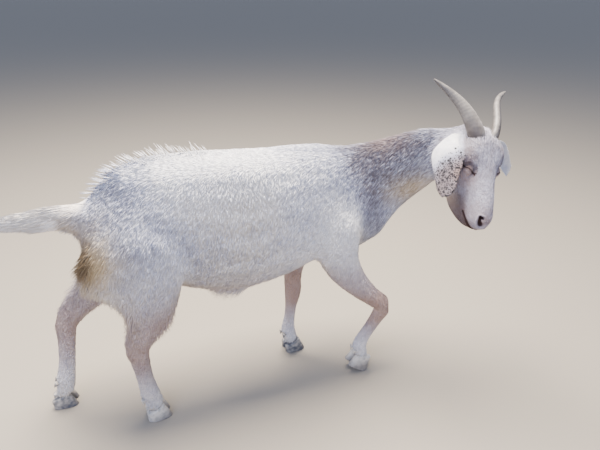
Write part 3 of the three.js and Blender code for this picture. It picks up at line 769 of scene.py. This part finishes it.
def coatTree():
    tree = bpy.data.node_groups.new("coat", "GeometryNodeTree")
    for name, kind in {"Geometry": "Geometry", "Tuft": "Object", "Hair": "Material", "Apart": "Float",
                       "Drift Size": "Float", "Clumping": "Float", "Stray": "Float", "Spikes": "Float",
                       "Patch": "Float", "Seed": "Int"}.items():
        tree.interface.new_socket(name, in_out="INPUT", socket_type="NodeSocket" + kind)
    tree.interface.new_socket("Geometry", in_out="OUTPUT", socket_type="NodeSocketGeometry")
    given = node(tree, "NodeGroupInput").outputs
    onSkin = {name: node(tree, "GeometryNodeInputNamedAttribute", {"Name": name}, data_type="FLOAT")
              for name in ("long", "wide", "lift", "spike", "thick")}
    way, place, inTuft = (
        node(tree, "GeometryNodeInputNamedAttribute", {"Name": name}, data_type="FLOAT_VECTOR")
        for name in ("way", "place", "inTuft"))
    draws = {}      # numbers drawn afresh for each tuft
    for salt, (name, low, high) in enumerate((("spike", 0.0, 1.0), ("lift", 0.55, 1.45), ("rise", 1.0, 1.9),
                                              ("long", 0.7, 1.25), ("wide", 0.7, 1.3), ("tone", 0.0, 1.0))):
        seed = node(tree, "ShaderNodeMath", {0: given["Seed"], 1: 31, 2: salt + 1}, operation="MULTIPLY_ADD")
        draws[name] = node(tree, "FunctionNodeRandomValue", {2: low, 3: high, "Seed": seed})

    room = node(tree, "ShaderNodeMath", {0: given["Apart"], 1: given["Apart"]}, operation="MULTIPLY")
    most = node(tree, "ShaderNodeMath", {0: 1.6, 1: room}, operation="DIVIDE")
    spread = node(tree, "GeometryNodeDistributePointsOnFaces", {
        "Mesh": given["Geometry"], "Distance Min": given["Apart"], "Density Max": most,
        "Density Factor": onSkin["thick"], "Seed": given["Seed"]}, distribute_method="POISSON").outputs
    normal = spread["Normal"]

    # long hair drifts together and strays, more sideways than outwards; short hair keeps its line
    free = node(tree, "ShaderNodeMath", {0: onSkin["long"], 1: 60.0}, operation="MULTIPLY")
    free = node(tree, "ShaderNodeMath", {0: free, 1: 1.0}, operation="MINIMUM")
    where = node(tree, "GeometryNodeInputPosition")
    fineness = node(tree, "ShaderNodeMath", {0: 1.0, 1: given["Drift Size"]}, operation="DIVIDE")
    drift = node(tree, "ShaderNodeTexNoise", {"Vector": where, "Scale": fineness, "Detail": 1.0})
    drift = node(tree, "ShaderNodeVectorMath", {0: drift.outputs["Color"], 1: (-0.5, -0.5, -0.5)},
                 operation="ADD")
    stray = node(tree, "FunctionNodeRandomValue", {0: (-1, -1, -1), 1: (1, 1, 1)}, data_type="FLOAT_VECTOR")
    swings = []
    for swing, strength in ((drift, "Clumping"), (stray, "Stray")):
        amount = node(tree, "ShaderNodeMath", {0: given[strength], 1: free}, operation="MULTIPLY")
        swings.append(node(tree, "ShaderNodeVectorMath", {0: swing, 3: amount}, operation="SCALE"))
    loose = node(tree, "ShaderNodeVectorMath", {0: swings[0], 1: swings[1]}, operation="ADD")
    upright = node(tree, "ShaderNodeVectorMath", {0: loose, 1: normal}, operation="PROJECT")
    upright = node(tree, "ShaderNodeVectorMath", {0: upright, 3: -0.85}, operation="SCALE")
    loose = node(tree, "ShaderNodeVectorMath", {0: loose, 1: upright}, operation="ADD")

    # some tufts of the crest stand up as spikes
    spike = node(tree, "ShaderNodeMath", {0: onSkin["spike"], 1: given["Spikes"]}, operation="MULTIPLY")
    spike = node(tree, "ShaderNodeMath", {0: spike, 1: draws["spike"]}, operation="GREATER_THAN")
    rise = node(tree, "ShaderNodeMath", {0: spike, 1: draws["rise"]}, operation="MULTIPLY")
    lift = node(tree, "ShaderNodeMath", {0: onSkin["lift"], 1: draws["lift"]}, operation="MULTIPLY")
    lift = node(tree, "ShaderNodeMath", {0: lift, 1: rise}, operation="ADD")
    raised = node(tree, "ShaderNodeVectorMath", {0: normal, 3: lift}, operation="SCALE")
    forward = node(tree, "ShaderNodeVectorMath", {0: way, 1: raised}, operation="ADD")
    forward = node(tree, "ShaderNodeVectorMath", {0: forward, 1: loose}, operation="ADD")
    turn = node(tree, "FunctionNodeAxesToRotation", {0: forward, 1: normal},
                primary_axis="X", secondary_axis="Z")
    sizes = []
    for name, extra in (("long", 0.35), ("wide", 0.9)):
        size = node(tree, "ShaderNodeMath", {0: onSkin[name], 1: draws[name]}, operation="MULTIPLY")
        larger = node(tree, "ShaderNodeMath", {0: spike, 1: extra, 2: 1.0}, operation="MULTIPLY_ADD")
        sizes.append(node(tree, "ShaderNodeMath", {0: size, 1: larger}, operation="MULTIPLY"))
    height = node(tree, "ShaderNodeMath", {0: sizes[1], 1: 0.6}, operation="MULTIPLY")
    size = node(tree, "ShaderNodeCombineXYZ", {"X": sizes[0], "Y": sizes[1], "Z": height})

    tuft = node(tree, "GeometryNodeObjectInfo", {"Object": given["Tuft"]}).outputs["Geometry"]
    placed = node(tree, "GeometryNodeInstanceOnPoints", {
        "Points": spread["Points"], "Instance": tuft, "Rotation": turn, "Scale": size})
    toned = node(tree, "GeometryNodeStoreNamedAttribute", {
        "Geometry": placed, "Name": "tone", "Value": draws["tone"]}, domain="INSTANCE")
    real = node(tree, "GeometryNodeRealizeInstances", {"Geometry": toned})
    patch = node(tree, "ShaderNodeVectorMath", {0: inTuft, 3: given["Patch"]}, operation="SCALE")
    patch = node(tree, "ShaderNodeVectorMath", {0: place, 1: patch}, operation="ADD")
    mapped = node(tree, "GeometryNodeStoreNamedAttribute", {
        "Geometry": real, "Name": "OFBake", "Value": patch}, data_type="FLOAT2", domain="CORNER")
    smooth = node(tree, "GeometryNodeSetShadeSmooth", {"Geometry": mapped})
    dyed = node(tree, "GeometryNodeSetMaterial", {"Geometry": smooth, "Material": given["Hair"]})
    node(tree, "NodeGroupOutput", {"Geometry": dyed})
    return tree


def part(mesh, keep):      # the faces with two or more corners in keep, with the mesh's attributes
    loops = np.empty(len(mesh.loops), dtype=np.int32)
    mesh.loops.foreach_get("vertex_index", loops)
    faces = loops.reshape(-1, 3)
    faces = faces[keep[faces].sum(1) >= 2]
    used, flat = np.unique(faces, return_inverse=True)
    made = bpy.data.meshes.new("part")
    made.from_pydata(points(mesh)[used].tolist(), [], flat.reshape(-1, 3).tolist())
    for name in ("long", "wide", "lift", "spike", "thick", "mottle",
                 "grey", "warm", "cream", "stain", "speck", "dark"):
        values = np.empty(len(keep), dtype=np.float32)
        mesh.attributes[name].data.foreach_get("value", values)
        setAttribute(made, name, values[used])
    way = np.empty(len(keep) * 3, dtype=np.float32)
    mesh.attributes["way"].data.foreach_get("vector", way)
    setAttribute(made, "way", way.reshape(-1, 3)[used])
    return made, used


def unwrapped(places, region):      # each node's surface unrolled about its own long axis, side by side
    result = np.zeros((len(places), 3))
    nodes = np.unique(region)
    for column, number in enumerate(nodes):
        chosen = region == number
        mine = places[chosen] - places[chosen].mean(0)
        axes = np.linalg.svd(mine, full_matrices=False)[2]
        along, first, second = (mine @ axes.T).T
        angle = np.arctan2(second, first) / (2 * math.pi) + 0.5
        share = (along - along.min()) / np.ptp(along)
        angle = (angle - angle.min()) / max(np.ptp(angle), 0.01)
        result[chosen, 0] = (column + 0.02 + 0.95 * angle) / len(nodes)
        result[chosen, 1] = 0.01 + 0.97 * share
    return result


coatValues = {
    "pieces": {          # kind of node, side of the middle and half of the length (0 for both), tufts
        "coat_trunk_right_front": ("trunk", -1, 1, 15000),
        "coat_trunk_right_back": ("trunk", -1, -1, 15000),
        "coat_trunk_left_front": ("trunk", 1, 1, 15000),
        "coat_trunk_left_back": ("trunk", 1, -1, 15000),
        "coat_neck": ("neck", 0, 0, 16500),
        "coat_head": ("head", 0, 0, 16000),
        "coat_tail": ("tail", 0, 0, 5500),
        "coat_forelegs": ("leg_front", 0, 0, 14000),
        "coat_hind_leg_right": ("leg_hind_right", 0, 0, 13500),
        "coat_hind_leg_left": ("leg_hind_left", 0, 0, 12500),
        "coat_ears": ("ear", 0, 0, 7000),
    },
    "packing": 0.47,       # the share of the skin that a tuft's own room fills
    "driftSize": 0.02083,  # from one clump to the next
    "clumping": 0.34,
    "stray": 0.06,
    "patch": 0.003,        # each tuft's width on the unwrapped skin
    "spikes": 0.09,      # the share of the tufts on the crest that stand up as spikes
}


def growCoat(values):
    tree = coatTree()
    tuft = asObject(tuftMesh(), "tuft")
    sockets = {item.name: item.identifier for item in tree.interface.items_tree if item.in_out == "INPUT"}
    places = points(skinMesh)
    region = regions(places)
    centre = inBox("trunk", (0.5, 0.5, 0.5))
    for seed, (name, (kind, side, end, count)) in enumerate(values["pieces"].items()):
        keep = np.isin(region, [i for i, other in enumerate(fleshNodes) if other.startswith(kind)])
        if side:
            keep &= (places[:, 1] - centre[1]) * side > 0
            keep &= (places[:, 0] - centre[0]) * end > 0
        mesh, used = part(skinMesh, keep)
        owner = np.where(keep[used], region[used], region[keep][0])
        setAttribute(mesh, "place", unwrapped(places[used], owner))
        area = sum(face.area for face in mesh.polygons)
        carrier = asObject(mesh, "carrier")
        grow = carrier.modifiers.new("coat", "NODES")
        grow.node_group = tree
        settings = {"Tuft": tuft, "Hair": hairPaint, "Apart": math.sqrt(values["packing"] * area / count),
                    "Drift Size": values["driftSize"], "Clumping": values["clumping"],
                    "Stray": values["stray"], "Spikes": values["spikes"], "Patch": values["patch"],
                    "Seed": seed}
        for key, value in settings.items():
            grow[sockets[key]] = value
        hair = bpy.data.meshes.new_from_object(carrier.evaluated_get(bpy.context.evaluated_depsgraph_get()))
        bpy.data.objects.remove(carrier)
        hair.materials.clear()
        hair.materials.append(hairPaint)
        coat = asObject(hair, name)
        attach(coat, "root")
        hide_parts(*[other for other in fleshNodes if other.startswith(kind)])
        print(name, round(area, 3), "m2", len(hair.polygons), "faces")
    bpy.data.objects.remove(tuft)


growCoat(coatValues)


# horns, hooves and eyes

def finish(mesh, name, nodes, paint):
    mesh.polygons.foreach_set("use_smooth", [True] * len(mesh.polygons))
    mesh.materials.clear()
    mesh.materials.append(paint)
    piece = asObject(mesh, name)
    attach(piece, "root")
    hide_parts(*nodes)
    print(name, len(mesh.polygons), "faces")


hornValues = {
    "front": (0.2, 0.7, 0.7),      # the way the right horn's front edge faces, in the head's frame; a painted highlight lies along that edge
    "ring": 0.0085,                # from one growth ring to the next
    "ringDepth": 0.00018,
    "grain": 0.01429,              # the size of its paler and darker flecks
    "shaft": "#625e5b",
    "base": "#574c45",
    # painted highlight along the front edge
    "litEdge": "#958f89",
}


def hornPaint(values):      # dull grey-brown, darkest at the root, with a painted highlight along the front edge
    paint, tree, shader = newPaint("weathered goat horn", 0.5)
    place = node(tree, "ShaderNodeTexCoord").outputs["Object"]
    along, front = (node(tree, "ShaderNodeAttribute", attribute_name=name).outputs["Fac"]
                    for name in ("along", "front"))
    grain = node(tree, "ShaderNodeTexNoise", {"Vector": place, "Scale": 1 / values["grain"], "Detail": 5.0})
    root = node(tree, "ShaderNodeMapRange", {"Value": along, "From Min": 0.30, "From Max": 0.0})
    flecks = node(tree, "ShaderNodeMapRange", {
        "Value": grain, "From Min": 0.3, "From Max": 0.7, "To Min": 0.62, "To Max": 1.10})
    mix = linear(values["shaft"])
    for share, colour in ((root, "base"), (front, "litEdge")):
        mix = node(tree, "ShaderNodeMix", {0: share, 6: mix, 7: linear(values[colour])}, data_type="RGBA")
    mix = node(tree, "ShaderNodeMix", {0: 1.0, 6: mix, 7: flecks}, data_type="RGBA", blend_type="MULTIPLY")
    bump = node(tree, "ShaderNodeBump", {"Height": grain, "Strength": 0.4, "Distance": 0.0006})
    tree.links.new(mix.outputs[2], shader.inputs["Base Color"])
    tree.links.new(bump.outputs[0], shader.inputs["Normal"])
    return paint


def addHorns(values):
    for name, side in (("horn_right", -1), ("horn_left", 1)):
        mesh = applied(cadMesh([name]), ("SUBSURF", {"levels": 3, "render_levels": 3}))
        local = head.inside(points(mesh))
        outward = normals(mesh) @ head.turn
        reach = np.linalg.norm(local - mirrored(headValues["hornRoot"], side), axis=1)
        along = reach / reach.max()
        ring = np.abs(np.sin(math.pi * (reach + 0.001 * np.sin(reach * 300)) / values["ring"])) ** 3
        fade = ease(reach, 0.004, 0.012) * (1 - ease(along, 0.45, 0.9))
        local = local - outward * (values["ringDepth"] * (1 - ring) * fade)[:, None]
        setPoints(mesh, head.outside(local))
        setAttribute(mesh, "along", along)
        # how strong the painted highlight on the front edge is
        setAttribute(mesh, "front", 0.85 * ease(outward @ unit(mirrored(values["front"], side)), 0.1, 0.95))
        finish(mesh, name + "_sheath", [name], horn)


horn = hornPaint(hornValues)
addHorns(hornValues)


hoofValues = {
    "voxel": 0.0015,
    "rounds": 10,
    "line": 0.0028,      # from one growth line to the next
    "mudSize": 0.01176,  # from one patch of mud to the next
    "top": "#d2cabd",
    "sole": "#8d867f",
    # dull bluish grey, for dried mud and for painted shade
    "mudAndShade": "#4c4f56",
    # how much of that grey each hoof gets; on the left hooves it is mostly painted shade
    "dirty": {"front_left": 0.42, "hind_left": 0.36, "hind_right": 0.12, "front_right": 0.08},
}


def hoofPaint(values):      # pale and waxy at the top, greyer at the sole, with dull grey that is dried mud and painted shade, the shade strongest on the left hooves
    paint, tree, shader = newPaint("pale hoof horn with dried mud", 0.55)
    place = node(tree, "ShaderNodeTexCoord").outputs["Object"]
    down, dirty = (node(tree, "ShaderNodeAttribute", attribute_name=name).outputs["Fac"]
                   for name in ("down", "dirty"))
    low = node(tree, "ShaderNodeMapRange", {"Value": down, "From Min": 0.012, "From Max": 0.036})
    # where the grey of dried mud and painted shade lies
    mud = node(tree, "ShaderNodeTexNoise", {"Vector": place, "Scale": 1 / values["mudSize"], "Detail": 4.0})
    mud = node(tree, "ShaderNodeMath", {0: mud, 1: dirty}, operation="ADD")
    mud = node(tree, "ShaderNodeMapRange", {"Value": mud, "From Min": 0.55, "From Max": 1.05})
    mix = linear(values["top"])
    for share, colour in ((low, "sole"), (mud, "mudAndShade")):
        mix = node(tree, "ShaderNodeMix", {0: share, 6: mix, 7: linear(values[colour])}, data_type="RGBA")
    wave = node(tree, "ShaderNodeMath", {0: down, 1: 2 * math.pi / values["line"]}, operation="MULTIPLY")
    wave = node(tree, "ShaderNodeMath", {0: wave}, operation="SINE")
    bump = node(tree, "ShaderNodeBump", {"Height": wave, "Strength": 0.25, "Distance": 0.0004})
    tree.links.new(mix.outputs[2], shader.inputs["Base Color"])
    tree.links.new(bump.outputs[0], shader.inputs["Normal"])
    return paint


def addHooves(values):      # one piece for the hooves and one for the dewclaws
    for kind in ("hoof", "dewclaw"):
        nodes = [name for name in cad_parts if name.startswith(kind)]
        meshes, down, dirty = [], [], []
        for name in nodes:
            foot = name.replace("dewclaw", "hoof").rsplit("_", 1)[0]
            mesh = applied(cadMesh([name]), ("REMESH", {"mode": "VOXEL", "voxel_size": values["voxel"]}))
            height = points(mesh)[:, 2]
            relax(mesh, 0.12 + 0.4 * ease(height, 0.002, 0.010), values["rounds"])
            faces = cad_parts[foot + "_outer"].data.polygons
            top = unit(sum(np.array(f.normal) * f.area for f in faces if f.normal.z > 0.5))
            level = points(mesh) @ top
            meshes.append(mesh)
            down.append(level.max() - level)
            dirty.append(np.full(len(level), values["dirty"][foot[5:]]))
        mesh = joined(*meshes)
        setAttribute(mesh, "down", np.concatenate(down))
        setAttribute(mesh, "dirty", np.concatenate(dirty))
        finish(mesh, {"hoof": "hooves", "dewclaw": "dewclaws"}[kind], nodes, hoof)


hoof = hoofPaint(hoofValues)
addHooves(hoofValues)


eyeValues = {
    "radius": 0.0124,
    "gaze": (0.35, -0.90, 0.25),      # of the right eye, in the head's frame
    "iris": "#5f431f",
    "white": "#4a3a30",
    "pupil": "#0c0a09",
}


def eyePaint(values):      # wet, so it glints; amber round a level, slotted pupil
    paint, tree, shader = newPaint("wet goat eye", 0.08)
    mix = linear(values["white"])
    for name in ("iris", "pupil"):
        share = node(tree, "ShaderNodeAttribute", attribute_name=name).outputs["Fac"]
        mix = node(tree, "ShaderNodeMix", {0: share, 6: mix, 7: linear(values[name])}, data_type="RGBA")
    tree.links.new(mix.outputs[2], shader.inputs["Base Color"])
    return paint


def addEyes(values):
    for name, side in (("eye_right", -1), ("eye_left", 1)):
        bm = bmesh.new()
        bmesh.ops.create_icosphere(bm, subdivisions=5, radius=values["radius"])
        mesh = bpy.data.meshes.new(name)
        bm.to_mesh(mesh)
        bm.free()
        gaze = unit(mirrored(values["gaze"], side))
        across = unit(np.cross((0, 0, 1), gaze))
        spots = points(mesh)
        facing, level, height = spots @ gaze, spots @ across, spots @ np.cross(gaze, across)
        iris = ease(facing / values["radius"], 0.70, 0.76)
        pupil = iris * (1 - ease(np.abs(height), 0.0014, 0.0020)) * (1 - ease(np.abs(level), 0.0050, 0.0058))
        setPoints(mesh, head.outside(spots + mirrored(faceValues["eye"], side)))
        setAttribute(mesh, "iris", iris)
        setAttribute(mesh, "pupil", pupil)
        finish(mesh, name.replace("eye", "eyeball"), [name], wetEye)


wetEye = eyePaint(eyeValues)
addEyes(eyeValues)
